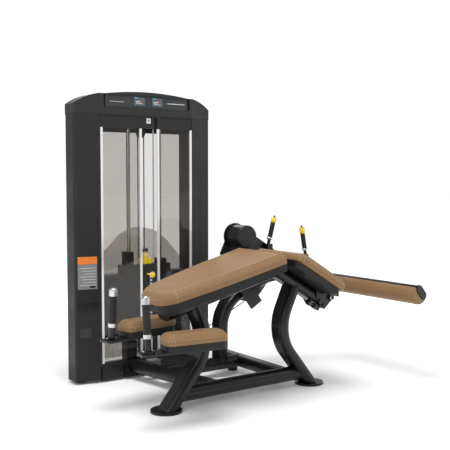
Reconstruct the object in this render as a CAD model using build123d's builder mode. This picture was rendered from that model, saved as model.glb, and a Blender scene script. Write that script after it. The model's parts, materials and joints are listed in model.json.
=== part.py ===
from build123d import *
import os
from math import sin, cos, tan, radians, degrees, atan2, hypot

# Lying leg curl machine. Millimetres, +Z up, the floor is Z = 0.
# X runs along the bench (head end at -X, feet at +X), Y runs from the user's side to the
# weight tower. The origin is the centre of the footprint box on the floor.
# Layout coordinates below are counted from the middle of the tower's front plane.
OX, OY = 312.0, -422.0

# ---------------------------------------------------------------- driving dimensions
TOWER_HALF = 425.0        # half width of the tower
BAY_HALF = 286.0          # half width of the weight bay between the columns
TOWER_DEPTH = 141.0
COLUMN_SWEEP = 32.0       # how far the outer front edge of a column sits back
SEAM_Z = 1430.0           # joint between columns and header
FASCIA_Z = 1363.0
BAY_Z = 101.0             # lower edge of the bay opening
SHEET = 3.0               # cover thickness

ROD_X, STACK_Y, ROD_R = 98.0, 47.0, 11.0
ADDON_ROD_X, ADDON_ROD_Y = 52.0, 33.0
PLATE_W, PLATE_D, PLATE_PITCH, PLATE_T = 520.0, 70.0, 18.0, 17.2
N_PLATES = 20
STACK_Z0 = 214.0
STACK_Z1 = STACK_Z0 + N_PLATES * PLATE_PITCH

SPINE_Y = -640.0          # vertical middle plane of the bench
REAR_Y = -235.0           # plane of the rear upright
TUBE_R = 38.0             # round base tubes
TUBE_Z = 70.0
OVAL_W, OVAL_T = 110.0, 58.0   # flat-oval leg tubes

CHEST_SLOPE, THIGH_SLOPE = 14.0, 30.5
CHEST_END = (300.0, 735.0)     # top of the chest pad at the hip end
THIGH_END = (405.0, 729.0)     # top of the thigh pad at the hip end
CHEST_LEN, THIGH_LEN = 692.0, 356.0
PAD_HALF = 190.0
CHEST_T, CHEST_BASE_T = 56.0, 37.0
THIGH_T, THIGH_BASE_T = 50.0, 32.0
BEAM_W, BEAM_T = 104.0, 60.0   # flat-oval bench beams

PIVOT = (720.0, 565.0)         # knee axis
SHAFT_R = 17.5
RUN = 0.05                     # running clearance
ROLLER_R, ROLLER_DIST, ROLLER_ANGLE = 56.0, 380.0, -13.2
ARM_Y, ARM_T = -325.0, 12.0    # front face and thickness of the arm plate
CAM_Y, CAM_T = -150.0, 12.0    # middle and thickness of the cam

ARMPAD_C, ARMPAD_OFF, ARMPAD_SPLAY = -257.0, 209.0, 8.4
ARMPAD_L, ARMPAD_W = 302.0, 112.0
HANDLE_X, HANDLE_OFF, HANDLE_LEAN = -470.0, 173.0, 5.2

CABLE_R = 3.0
TOP_R, BASE_R, BENCH_R = 34.0, 38.0, 45.0   # pitch radii of the pulleys
CABLE_EXIT_Z = 126.0
CAM_ANCHOR = (541.0, 388.0)

os.makedirs("parts", exist_ok=True)


# ---------------------------------------------------------------- reference planes
def front(y):
    """Upright plane across the machine: local x = X, local y = Z, normal -Y."""
    return Plane(origin=(-OX, y - OY, 0), x_dir=(1, 0, 0), z_dir=(0, -1, 0))


def floor(z):
    """Level plane: local x = X, local y = Y, normal +Z."""
    return Plane(origin=(-OX, -OY, z), x_dir=(1, 0, 0), z_dir=(0, 0, 1))


def side(x):
    """Upright plane through the machine: local x = Y, local y = Z, normal +X."""
    return Plane(origin=(x - OX, -OY, 0), x_dir=(0, 1, 0), z_dir=(1, 0, 0))


def tilted(p, y, angle):
    """Upright plane like front(y), origin at p = (X, Z) and local x raised by angle."""
    a = radians(angle)
    return Plane(origin=(p[0] - OX, y - OY, p[1]), x_dir=(cos(a), 0, sin(a)), z_dir=(0, -1, 0))


def across(p, y, angle):
    """Plane square to a line that leaves p = (X, Z) in plane y at angle: local x = Y."""
    a = radians(angle)
    return Plane(origin=(p[0] - OX, y - OY, p[1]), x_dir=(0, 1, 0), z_dir=(cos(a), 0, sin(a)))


def on_slope(p, angle, u, w):
    """Point u along a line leaving p at angle, and w below it."""
    a = radians(angle)
    return (p[0] + u * cos(a) + w * sin(a), p[1] + u * sin(a) - w * cos(a))


def save(solid, name):
    solid.label = name
    export_step(solid, "parts/" + name + ".step")


# ================================================================ weight tower
# welded plinth: front beam with a sloping tray lip, rear beam and a rail under each column
with BuildPart() as tower_base:
    with BuildSketch(floor(8)):
        with Locations((0, 88)):
            Rectangle(2 * TOWER_HALF - 24, 96)
        with Locations((0, 32)):
            Rectangle(2 * BAY_HALF - 2, 60)
        with Locations((0, 84)):
            Rectangle(2 * BAY_HALF - 60, 40, mode=Mode.SUBTRACT)
    extrude(amount=72)
    with BuildSketch(side(-BAY_HALF + 1)):
        with BuildLine():
            Polyline((3, 80), (16, 80), (16, 97), (12, 97), (3, 86), close=True)
        make_face()
    extrude(amount=2 * BAY_HALF - 2)
save(tower_base.part, "tower_base_frame")

# inner frame: two square posts inside the columns, joined by the pulley beam
with BuildPart() as tower_frame:
    with BuildSketch(floor(80)):
        with Locations((-355, 88), (355, 88)):
            Rectangle(50, 50)
            Rectangle(44, 44, mode=Mode.SUBTRACT)
    extrude(amount=1320)
    with BuildSketch(side(-380)):
        with Locations((80, 1412.5)):
            Rectangle(100, 25)
    extrude(amount=760)
    with BuildSketch(side(-282)):
        with Locations((126, 1373)):
            Rectangle(8, 56)
    extrude(amount=564)
    with BuildSketch(floor(1400)):
        with Locations((-ROD_X, STACK_Y), (ROD_X, STACK_Y)):
            Circle(ROD_R)
        with Locations((ADDON_ROD_X, ADDON_ROD_Y)):
            Circle(4)
    extrude(amount=14, mode=Mode.SUBTRACT)
save(tower_frame.part, "tower_frame")

# column covers: folded shells whose front faces sweep back towards the outside
with BuildPart() as right_cover:
    with BuildSketch(floor(14)):
        with BuildLine():
            Polyline((BAY_HALF, 0), (TOWER_HALF, COLUMN_SWEEP), (TOWER_HALF, TOWER_DEPTH),
                     (BAY_HALF, TOWER_DEPTH), close=True)
        make_face()
    extrude(amount=SEAM_Z - 15)
    fillet(right_cover.edges().filter_by(Axis.Z).sort_by(Axis.X)[-2:], radius=16)
    fillet(right_cover.edges().filter_by(Axis.Z).sort_by(Axis.X)[:2], radius=4)
    with BuildSketch(floor(0)):
        with BuildLine():
            Polyline((BAY_HALF + SHEET, SHEET + 4), (TOWER_HALF - SHEET - 4, COLUMN_SWEEP + SHEET + 4),
                     (TOWER_HALF - SHEET, COLUMN_SWEEP + SHEET + 16),
                     (TOWER_HALF - SHEET, TOWER_DEPTH - SHEET - 8), (TOWER_HALF - SHEET - 8, TOWER_DEPTH - SHEET),
                     (BAY_HALF + SHEET, TOWER_DEPTH - SHEET), close=True)
        make_face()
    extrude(amount=SEAM_Z, mode=Mode.SUBTRACT)
    # room for the plinth, the pulley beam and its ends
    with BuildSketch(side(BAY_HALF - 3)):
        with Locations((88, 40)):
            Rectangle(98, 84)
        with Locations((32, 40)):
            Rectangle(66, 84)
        with Locations((80, 1412.5)):
            Rectangle(104, 29)
    extrude(amount=10, mode=Mode.SUBTRACT)
save(right_cover.part, "right_column_cover")
with BuildPart() as left_cover:
    add(right_cover.part.mirror(Plane(origin=(-OX, 0, 0), z_dir=(1, 0, 0))))
save(left_cover.part, "left_column_cover")

# header: arched cap with swept-back ends, hollow from below, with a recess for the panel
with BuildPart() as header:
    with BuildSketch(front(TOWER_DEPTH)):
        with BuildLine():
            Line((-TOWER_HALF, SEAM_Z), (-TOWER_HALF, 1482))
            RadiusArc((-TOWER_HALF, 1482), (-292, 1540), 300)
            Line((-292, 1540), (-258, 1540))
            RadiusArc((-258, 1540), (258, 1540), 1750)
            Line((258, 1540), (292, 1540))
            RadiusArc((292, 1540), (TOWER_HALF, 1482), 300)
            Line((TOWER_HALF, 1482), (TOWER_HALF, SEAM_Z))
            Line((TOWER_HALF, SEAM_Z), (-TOWER_HALF, SEAM_Z))
        make_face()
    extrude(amount=TOWER_DEPTH)
    # sweep the front back towards both ends
    with BuildSketch(floor(SEAM_Z - 5)):
        with BuildLine():
            Polyline((BAY_HALF, -1), (TOWER_HALF + 5, -1), (TOWER_HALF + 5, COLUMN_SWEEP + 1.2), (BAY_HALF, 0), close=True)
        make_face()
        with BuildLine():
            Polyline((-BAY_HALF, -1), (-TOWER_HALF - 5, -1), (-TOWER_HALF - 5, COLUMN_SWEEP + 1.2), (-BAY_HALF, 0), close=True)
        make_face()
    extrude(amount=160, mode=Mode.SUBTRACT)
    fillet(header.edges().filter_by(GeomType.LINE).filter_by(Axis.Z).group_by(Axis.X)[0], radius=8)
    fillet(header.edges().filter_by(GeomType.LINE).filter_by(Axis.Z).group_by(Axis.X)[-1], radius=8)
    with BuildSketch(front(TOWER_DEPTH - 4)):
        with BuildLine():
            Polyline((-TOWER_HALF + 8, SEAM_Z - 1), (-TOWER_HALF + 8, 1474), (-300, 1528), (-150, 1538), (150, 1538),
                     (300, 1528), (TOWER_HALF - 8, 1474), (TOWER_HALF - 8, SEAM_Z - 1), close=True)
        make_face()
    extrude(amount=TOWER_DEPTH - 4 - 44, mode=Mode.SUBTRACT)
    with BuildSketch(front(16)):
        with Locations((3, 1504)):
            RectangleRounded(536, 66, 5)
    extrude(amount=40, mode=Mode.SUBTRACT)
save(header.part, "header_cover")

with BuildPart() as header_panel:
    with BuildSketch(front(16)):
        with Locations((3, 1504)):
            RectangleRounded(512, 63, 3)
    extrude(amount=10)
    with BuildSketch(front(6)):
        with Locations((-47, 1508), (64, 1508)):
            RectangleRounded(72, 52, 3)
            RectangleRounded(66, 46, 2, mode=Mode.SUBTRACT)
    extrude(amount=1.2)
save(header_panel.part, "header_panel")

with BuildPart() as fascia:
    with BuildSketch(front(14)):
        with Locations((0, (FASCIA_Z + SEAM_Z) / 2)):
            Rectangle(2 * BAY_HALF - 2, SEAM_Z - FASCIA_Z - 1)
        with Locations((51, 1389)):
            Rectangle(18, 66, mode=Mode.SUBTRACT)
    extrude(amount=10)
    with BuildSketch(front(4)):
        with Locations((6, 1405)):
            RectangleRounded(30, 32, 3)
    extrude(amount=1.5)
save(fascia.part, "fascia_panel")

# tinted shrouds: thin panes with a bright edge channel on both upright edges
for name, x0, x1 in (("front_shroud_left", -BAY_HALF + 1, -38), ("front_shroud_right", 60, BAY_HALF - 1)):
    with BuildPart() as pane:
        with BuildSketch(front(7)):
            with Locations(((x0 + x1) / 2, (BAY_Z + FASCIA_Z) / 2)):
                Rectangle(x1 - x0 - 20, FASCIA_Z - BAY_Z - 1)
        extrude(amount=4)
        with BuildSketch(front(10)):
            with Locations((x0 + 6, (BAY_Z + FASCIA_Z) / 2), (x1 - 6, (BAY_Z + FASCIA_Z) / 2)):
                Rectangle(12, FASCIA_Z - BAY_Z - 1)
        extrude(amount=10)
    save(pane.part, name)

with BuildPart() as rear_shroud:
    with BuildSketch(front(136)):
        with Locations((0, 742)):
            Rectangle(2 * BAY_HALF - 4, 1310)
    extrude(amount=4)
save(rear_shroud.part, "rear_shroud")
with BuildPart() as lower_shroud:
    with BuildSketch(front(131)):
        with BuildLine():
            Polyline((-BAY_HALF + 3, 98), (BAY_HALF - 3, 98), (BAY_HALF - 3, 640), (190, 742), (110, 800), (30, 818),
                     (-30, 818), (-110, 786), (-180, 716), (-BAY_HALF + 3, 640), close=True)
        make_face()
    extrude(amount=4)
save(lower_shroud.part, "lower_rear_shroud")

# guide rods and the thin rod of the add-on weight
with BuildPart() as rods:
    with BuildSketch(floor(80)):
        with Locations((-ROD_X, STACK_Y), (ROD_X, STACK_Y)):
            Circle(ROD_R)
    extrude(amount=1334)
    with BuildSketch(floor(STACK_Z1 + 4)):
        with Locations((ADDON_ROD_X, ADDON_ROD_Y)):
            Circle(4)
    extrude(amount=1414 - STACK_Z1 - 4)
save(rods.part, "guide_rods")

# steel risers with rubber buffers that carry the resting stack
with BuildPart() as bumpers:
    with BuildSketch(floor(80)):
        with Locations((-ROD_X, STACK_Y), (ROD_X, STACK_Y)):
            Rectangle(64, 56)
            Circle(ROD_R + 1.5, mode=Mode.SUBTRACT)
    extrude(amount=STACK_Z0 - 80 - 14)
    with BuildSketch(floor(STACK_Z0 - 14)):
        with Locations((-ROD_X, STACK_Y), (ROD_X, STACK_Y)):
            Circle(27)
            Circle(ROD_R + 1.5, mode=Mode.SUBTRACT)
    extrude(amount=14)
save(bumpers.part, "stack_risers")


def plate_sketch(w, d, corner):
    """Outline of one weight plate with its rod, stem and add-on rod holes."""
    with BuildSketch(floor(0)) as s:
        with Locations((0, STACK_Y)):
            RectangleRounded(w, d, corner)
        with Locations((-ROD_X, STACK_Y), (ROD_X, STACK_Y)):
            Circle(ROD_R + 1.5, mode=Mode.SUBTRACT)
        with Locations((0, STACK_Y)):
            Circle(15, mode=Mode.SUBTRACT)
        with Locations((ADDON_ROD_X, ADDON_ROD_Y)):
            Circle(6, mode=Mode.SUBTRACT)
    return s.sketch


plate_face = plate_sketch(PLATE_W, PLATE_D, 4)
with BuildPart() as plates:
    for i in range(N_PLATES - 1):
        with BuildSketch(Plane.XY.offset(STACK_Z0 + i * PLATE_PITCH)):
            add(plate_face)
        extrude(amount=PLATE_T)
        with BuildSketch(front(STACK_Y - PLATE_D / 2)):
            with Locations((0, STACK_Z0 + i * PLATE_PITCH + PLATE_T / 2)):
                Circle(5.5)
        extrude(amount=-60, mode=Mode.SUBTRACT)
save(plates.part, "weight_plates")

# lifted group: the first plate and the head plate above it
with BuildPart() as head_plate:
    with BuildSketch(Plane.XY.offset(STACK_Z1 - PLATE_PITCH)):
        add(plate_face)
    extrude(amount=PLATE_T)
    with BuildSketch(front(STACK_Y - PLATE_D / 2)):
        with Locations((0, STACK_Z1 - PLATE_PITCH + PLATE_T / 2)):
            Circle(5.5)
    extrude(amount=-60, mode=Mode.SUBTRACT)
    with BuildSketch(floor(STACK_Z1)):
        with Locations((0, STACK_Y)):
            RectangleRounded(304, 66, 6)
        with Locations((-ROD_X, STACK_Y), (ROD_X, STACK_Y)):
            Circle(ROD_R + 1.5, mode=Mode.SUBTRACT)
        with Locations((0, STACK_Y)):
            Circle(13.2, mode=Mode.SUBTRACT)
        with Locations((ADDON_ROD_X, ADDON_ROD_Y)):
            Circle(6, mode=Mode.SUBTRACT)
    extrude(amount=44)
save(head_plate.part, "head_plate")

# round selector stem hanging through the plates, drilled at every plate
STEM_TOP = STACK_Z1 + 112
with BuildPart() as stem:
    with BuildSketch(floor(STACK_Z0 + 4)):
        with Locations((0, STACK_Y)):
            Circle(13)
    extrude(amount=STEM_TOP - STACK_Z0 - 4)
    with BuildSketch(floor(STEM_TOP)):
        with Locations((0, STACK_Y)):
            Circle(21)
    extrude(amount=18)
    fillet(stem.edges().sort_by(Axis.Z)[-1:], radius=6)
    for i in range(N_PLATES):
        with BuildSketch(front(STACK_Y - 16)):
            with Locations((0, STACK_Z0 + i * PLATE_PITCH + PLATE_T / 2)):
                Circle(5.2)
        extrude(amount=-32, mode=Mode.SUBTRACT)
    with BuildSketch(floor(STEM_TOP - 6)):
        with Locations((0, STACK_Y)):
            Circle(CABLE_R + 0.2)
    extrude(amount=40, mode=Mode.SUBTRACT)
save(stem.part, "selector_stem")

# add-on weights resting on the head plate around the guide rods
with BuildPart() as addon:
    with BuildSketch(floor(STACK_Z1 + 44)):
        with Locations((-104, STACK_Y)):
            RectangleRounded(46, 60, 5)
        with Locations((-ROD_X, STACK_Y)):
            Circle(ROD_R + 1.5, mode=Mode.SUBTRACT)
    extrude(amount=74)
    with BuildSketch(floor(STACK_Z1 + 44)):
        with Locations((104, STACK_Y)):
            RectangleRounded(46, 60, 5)
        with Locations((ROD_X, STACK_Y)):
            Circle(ROD_R + 1.5, mode=Mode.SUBTRACT)
    extrude(amount=28)
save(addon.part, "addon_weights")

# yellow two-lobed selector that turns on the stem and hooks the add-on weights
KNOB_Z = STACK_Z1 + 44.6
with BuildPart() as knob:
    with BuildSketch(floor(KNOB_Z)):
        with Locations((0, STACK_Y)):
            SlotOverall(96, 26)
            Circle(22)
            Circle(13.05, mode=Mode.SUBTRACT)
    extrude(amount=30)
    with BuildSketch(floor(KNOB_Z + 30)):
        with Locations((0, STACK_Y)):
            Circle(20)
            Circle(13.05, mode=Mode.SUBTRACT)
    extrude(amount=36)
save(knob.part, "addon_selector")
PIN_Z = STACK_Z1 - PLATE_PITCH + PLATE_T / 2
with BuildPart() as pin:
    with BuildSketch(front(STACK_Y + 10)):
        with Locations((0, PIN_Z)):
            Circle(4.9)
    extrude(amount=STACK_Y + 10 + 40)
    with BuildSketch(front(-36)):
        with Locations((0, PIN_Z)):
            Circle(15)
    extrude(amount=8)
    with BuildSketch(front(-44)):
        with Locations((0, PIN_Z)):
            Circle(10)
    extrude(amount=14)
    fillet(pin.edges().sort_by(Axis.Y)[:1], radius=4)
save(pin.part, "selector_pin")


# ================================================================ pulleys and cable
def sheave(centre, axis_dir, r, name):
    """Grooved cable pulley with pitch radius r, turned about axis_dir through centre."""
    pl = Plane(origin=centre, x_dir=axis_dir, z_dir=(0, -1, 0))
    with BuildPart() as p:
        with BuildSketch(pl):
            with BuildLine():
                Polyline((-10, 8 + RUN), (10, 8 + RUN), (10, r + 5), (7, r + 5), (3.2, r - 3.1),
                         (-3.2, r - 3.1), (-7, r + 5), (-10, r + 5), close=True)
            make_face()
        revolve(axis=Axis(centre, axis_dir))
    save(p.part, name)


TOP_C = (0 - OX, 81 - OY, 1355)
BASE_C = (0 - OX, 77 - OY, 164)
ALPHA = 25.1                      # lean of the bench pulley, equal to the rise of the cable
CA, SA = cos(radians(ALPHA)), sin(radians(ALPHA))
BENCH_Y = CAM_Y + BENCH_R
BENCH_C = (BENCH_R * CA - OX, BENCH_Y - OY, CABLE_EXIT_Z + BENCH_R * SA)
sheave(TOP_C, (1, 0, 0), TOP_R, "top_pulley")
sheave(BASE_C, (1, 0, 0), BASE_R, "base_pulley")
sheave(BENCH_C, (-SA, 0, CA), BENCH_R, "bench_pulley")

with BuildPart() as tower_brackets:
    with BuildSketch(side(-17)):
        with Locations((81, 1365)):
            Rectangle(40, 70)
        with Locations((77, 133)):
            Rectangle(40, 94)
    extrude(amount=4)
    with BuildSketch(side(13)):
        with Locations((81, 1365)):
            Rectangle(40, 70)
        with Locations((77, 133)):
            Rectangle(40, 94)
    extrude(amount=4)
    with BuildSketch(side(-17)):
        with Locations((81, 1355), (77, 164)):
            Circle(8)
    extrude(amount=34)
    with BuildSketch(floor(80)):
        with Locations((0, 84)):
            Rectangle(60, 84)
    extrude(amount=6)
save(tower_brackets.part, "tower_pulley_brackets")

# cable: stem, over the top pulley, under the base pulley, round the bench pulley, to the cam
k = 0.70710678
with BuildPart() as cable:
    with BuildLine() as route:
        p0 = (0 - OX, STACK_Y - OY, STACK_Z1 + 108)
        p1 = (0 - OX, STACK_Y - OY, 1355)
        p2 = (0 - OX, 115 - OY, 1355)
        p3 = (0 - OX, 115 - OY, 164)
        p4 = (0 - OX, 77 - OY, CABLE_EXIT_Z)
        p5 = (0 - OX, BENCH_Y - OY, CABLE_EXIT_Z)
        p6 = (BENCH_C[0], CAM_Y - OY, BENCH_C[2])
        run = (545.0 - BENCH_R * CA) / CA
        p7 = (BENCH_C[0] + run * CA, CAM_Y - OY, BENCH_C[2] + run * SA)
        Line(p0, p1)
        ThreePointArc(p1, (0 - OX, 81 - OY, 1355 + TOP_R), p2)
        Line(p2, p3)
        ThreePointArc(p3, (0 - OX, 77 + BASE_R * k - OY, 164 - BASE_R * k), p4)
        Line(p4, p5)
        ThreePointArc(p5, (BENCH_C[0] - BENCH_R * k * CA, BENCH_Y - BENCH_R * k - OY, BENCH_C[2] - BENCH_R * k * SA), p6)
        Line(p6, p7)
    with BuildSketch(floor(STACK_Z1 + 108)):
        with Locations((0, STACK_Y)):
            Circle(CABLE_R)
    sweep()
save(cable.part, "drive_cable")

# ================================================================ base tubes and legs
def oval_tube(points, radius, start_plane, y, w=OVAL_W, t=OVAL_T):
    """Flat-oval tube swept along straight runs joined by tangent bends."""
    with BuildPart() as p:
        with BuildLine(front(y)):
            FilletPolyline(*points, radius=radius)
        with BuildSketch(start_plane):
            SlotOverall(w, t)
        sweep()
    return p.part


def beam(p, angle, u0, u1, w, width, cut_x, keep_left):
    """Flat-oval beam parallel to a pad, its middle w below the pad's top."""
    q = on_slope(p, angle, u0, w)
    with BuildPart() as b:
        with BuildSketch(across(q, SPINE_Y, angle)):
            SlotOverall(width, BEAM_T)
        extrude(amount=u1 - u0)
        with BuildSketch(side(cut_x if keep_left else cut_x - 200)):
            with Locations((SPINE_Y, 600)):
                Rectangle(300, 500)
        extrude(amount=200, mode=Mode.SUBTRACT)
    return b.part


CHEST_W = CHEST_T + CHEST_BASE_T + BEAM_T / 2
THIGH_W = THIGH_T + THIGH_BASE_T + BEAM_T / 2
PEAK_X = 363.0
chest_beam = beam(CHEST_END, CHEST_SLOPE, -640, 120, CHEST_W, 104, PEAK_X, True)
thigh_beam = beam(THIGH_END, -THIGH_SLOPE, -30, THIGH_LEN, THIGH_W, 110, PEAK_X, False)

with BuildPart() as below:
    with BuildSketch(floor(-120)):
        with Locations((170, SPINE_Y)):
            Rectangle(1300, 400)
    extrude(amount=131)

a1 = degrees(atan2(293, 612 - 373)); a1 = 180 - a1
a2 = degrees(atan2(293, 239))
s1 = (612 - 40 * cos(radians(a1)), -40 * sin(radians(a1)))
s2 = (-276 - 40 * cos(radians(a2)), -40 * sin(radians(a2)))
right_leg = oval_tube([s1, (373, 293), (488, 543)], 225, across(s1, SPINE_Y, a1), SPINE_Y)
left_leg = oval_tube([s2, (-37, 293), (-131, 500)], 225, across(s2, SPINE_Y, a2), SPINE_Y)
with BuildPart() as rl:
    add(right_leg)
    add(below.part, mode=Mode.SUBTRACT)
    add(thigh_beam, mode=Mode.SUBTRACT)
save(rl.part, "right_leg")
with BuildPart() as ll:
    add(left_leg)
    add(below.part, mode=Mode.SUBTRACT)
    add(chest_beam, mode=Mode.SUBTRACT)
save(ll.part, "left_leg")
save(chest_beam, "chest_beam")
save(thigh_beam, "thigh_beam")


def base_tube(a, b, r):
    """Round tube lying at base height from a to b in plan."""
    d = hypot(b[0] - a[0], b[1] - a[1])
    pl = Plane(origin=(a[0] - OX, a[1] - OY, TUBE_Z), x_dir=(0, 0, 1),
               z_dir=((b[0] - a[0]) / d, (b[1] - a[1]) / d, 0))
    with BuildPart() as t:
        with BuildSketch(pl):
            Circle(r)
        extrude(amount=d)
    return t.part


front_base = base_tube((-219, SPINE_Y), (555, SPINE_Y), TUBE_R)
right_cross = base_tube((450, -42), (450, SPINE_Y), TUBE_R - 1)
left_cross = base_tube((-95, -12), (11.5, SPINE_Y), TUBE_R - 1)
rear_base = base_tube((-57, REAR_Y), (450, REAR_Y), TUBE_R - 2)
with BuildPart() as fb:
    add(front_base)
    add(right_leg, mode=Mode.SUBTRACT)
    add(left_leg, mode=Mode.SUBTRACT)
save(fb.part, "front_base_tube")
with BuildPart() as rc:
    add(right_cross)
    add(front_base, mode=Mode.SUBTRACT)
save(rc.part, "right_cross_tube")
with BuildPart() as lc:
    add(left_cross)
    add(front_base, mode=Mode.SUBTRACT)
save(lc.part, "left_cross_tube")
with BuildPart() as rb:
    add(rear_base)
    add(right_cross, mode=Mode.SUBTRACT)
    add(left_cross, mode=Mode.SUBTRACT)
save(rb.part, "rear_base_tube")

# rear upright carrying the knee bearing
upright = oval_tube([(315, 84), (315, 401), PIVOT], 192,
                    Plane(origin=(315 - OX, REAR_Y - OY, 84), x_dir=(0, 1, 0), z_dir=(0, 0, 1)), REAR_Y)
with BuildPart() as ru:
    add(upright)
    add(rear_base, mode=Mode.SUBTRACT)
    with BuildSketch(front(REAR_Y + 70)):
        with Locations(PIVOT):
            Circle(48)
    extrude(amount=140, mode=Mode.SUBTRACT)
save(ru.part, "rear_upright")
with BuildPart() as housing:
    with BuildSketch(front(REAR_Y + 55)):
        with Locations(PIVOT):
            Circle(48)
            Circle(SHAFT_R + RUN, mode=Mode.SUBTRACT)
    extrude(amount=110)
save(housing.part, "bearing_housing")

with BuildPart() as plates_f:
    with BuildSketch(floor(3)):
        with Locations((-276, SPINE_Y), (612, SPINE_Y)):
            Circle(75)
    extrude(amount=8)
save(plates_f.part, "foot_plates")
with BuildPart() as feet:
    with BuildSketch(floor(0)):
        with Locations((-276, SPINE_Y), (612, SPINE_Y)):
            Circle(76)
    extrude(amount=3)
    with BuildSketch(floor(0)):
        with Locations((-370, 92), (370, 92)):
            RectangleRounded(40, 60, 8)
        with Locations((0, 28)):
            RectangleRounded(80, 40, 8)
    extrude(amount=8)
    with BuildSketch(floor(0)):
        with Locations((450, -170)):
            Circle(27)
    extrude(amount=50)
    add(right_cross, mode=Mode.SUBTRACT)
save(feet.part, "rubber_feet")

# bolted joint between the bench frame and the tower
with BuildPart() as tb:
    with BuildSketch(front(2)):
        with Locations((-92, 52)):
            RectangleRounded(124, 80, 6)
    extrude(amount=14)
    with BuildSketch(floor(2)):
        with Locations((438, 8)):
            RectangleRounded(84, 96, 8)
    extrude(amount=6)
    with BuildSketch(floor(8)):
        with Locations((450, -34)):
            Rectangle(40, 12)
    extrude(amount=40)
    add(right_cross, mode=Mode.SUBTRACT)
    add(left_cross, mode=Mode.SUBTRACT)
save(tb.part, "tower_bracket")

with BuildPart() as bench_bracket:
    with BuildSketch(floor(76)):
        with Locations((-29, -92)):
            Rectangle(66, 52)
    extrude(amount=34)
    lower = Plane(origin=(BENCH_C[0] + 16 * SA, BENCH_C[1], BENCH_C[2] - 16 * CA), x_dir=(CA, 0, SA), z_dir=(-SA, 0, CA))
    with BuildSketch(lower):
        with Locations((-22, 0)):
            Rectangle(88, 44)
    extrude(amount=4)
    with BuildSketch(lower):
        Circle(8)
    extrude(amount=26.5)
    with BuildSketch(lower.offset(26.5)):
        Circle(14)
    extrude(amount=5)
    add(left_cross, mode=Mode.SUBTRACT)
save(bench_bracket.part, "bench_pulley_bracket")

# bracket closing the foot end of the thigh beam, with a bore for the pull pin
PULL = (578.0, 442.0)
PULL_Y, PULL_A = -676.0, -THIGH_SLOPE
with BuildPart() as eb:
    for y in (-695, -577):
        with BuildSketch(front(y)):
            with BuildLine():
                Polyline((606, 510), (668, 474), (700, 480), (730, 472), (730, 448), (700, 436), (663, 402),
                         (632, 428), (606, 470), close=True)
            make_face()
        extrude(amount=8)
    with BuildSketch(front(-577)):
        with BuildLine():
            Polyline((663, 402), (632, 428), (638, 434), (664, 413), (694, 440), (700, 434), close=True)
        make_face()
    extrude(amount=126)
    with BuildSketch(tilted(PULL, PULL_Y - 13, PULL_A)):
        with Locations((53, 0)):
            Rectangle(38, 26)
    extrude(amount=-26)
    with BuildSketch(across(PULL, PULL_Y, PULL_A)):
        Circle(6 + RUN)
    extrude(amount=110, mode=Mode.SUBTRACT)
    with BuildSketch(front(-560)):
        with Locations((705, 462)):
            Circle(10.1)
    extrude(amount=160, mode=Mode.SUBTRACT)
    add(thigh_beam, mode=Mode.SUBTRACT)
save(eb.part, "beam_end_bracket")
with BuildPart() as pull:
    with BuildSketch(across(on_slope(PULL, PULL_A, -14, 0), PULL_Y, PULL_A)):
        Circle(17)
    extrude(amount=26)
    fillet(pull.edges().filter_by(GeomType.CIRCLE), radius=5)
    with BuildSketch(across(on_slope(PULL, PULL_A, 8, 0), PULL_Y, PULL_A)):
        Circle(6)
    extrude(amount=58)
save(pull.part, "pull_pin")

# bolts, nuts and the bright axle of the end bracket
with BuildPart() as bolts:
    with BuildSketch(front(-12)):
        with Locations((-138, 52), (-40, 84), (-138, 28)):
            RegularPolygon(9, 6)
    extrude(amount=7)
    with BuildSketch(floor(8)):
        with Locations((464, 22), (464, -6)):
            RegularPolygon(9, 6)
    extrude(amount=6)
    with BuildSketch(front(-560)):
        with Locations((705, 462)):
            Circle(10)
    extrude(amount=160)
    with BuildSketch(front(-703)):
        with Locations((705, 462)):
            Circle(17)
    extrude(amount=12)
    with BuildSketch(front(-703)):
        with Locations((655, 424)):
            Circle(8)
        with Locations((632, 452)):
            RegularPolygon(9, 6)
    extrude(amount=6)
save(bolts.part, "frame_bolts")

# ================================================================ pads
def pad_plane(p, angle, w):
    """Plane parallel to a pad, w below its top: local x up the slope, local y = Y."""
    q = on_slope(p, angle, 0, w)
    a = radians(angle)
    return Plane(origin=(q[0] - OX, SPINE_Y - OY, q[1]), x_dir=(cos(a), 0, sin(a)), z_dir=(-sin(a), 0, cos(a)))


def chest_outline(plane, inset):
    with BuildSketch(plane) as s:
        with BuildLine():
            Polyline((0, -PAD_HALF), (-247, -180), (-437, -163), (-CHEST_LEN, -124), (-CHEST_LEN, 124),
                     (-437, 163), (-247, 180), (0, PAD_HALF), close=True)
        make_face()
        fillet(s.vertices().sort_by(Axis.X)[:2], radius=95)
        fillet(s.vertices().sort_by(Axis.X)[-2:], radius=24)
        if inset:
            offset(amount=-inset)
    return s.sketch


def thigh_outline(plane, inset):
    with BuildSketch(plane) as s:
        with Locations((THIGH_LEN / 2, 0)):
            RectangleRounded(THIGH_LEN - 2 * inset, 2 * PAD_HALF - 2 * inset, 26)
    return s.sketch


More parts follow.
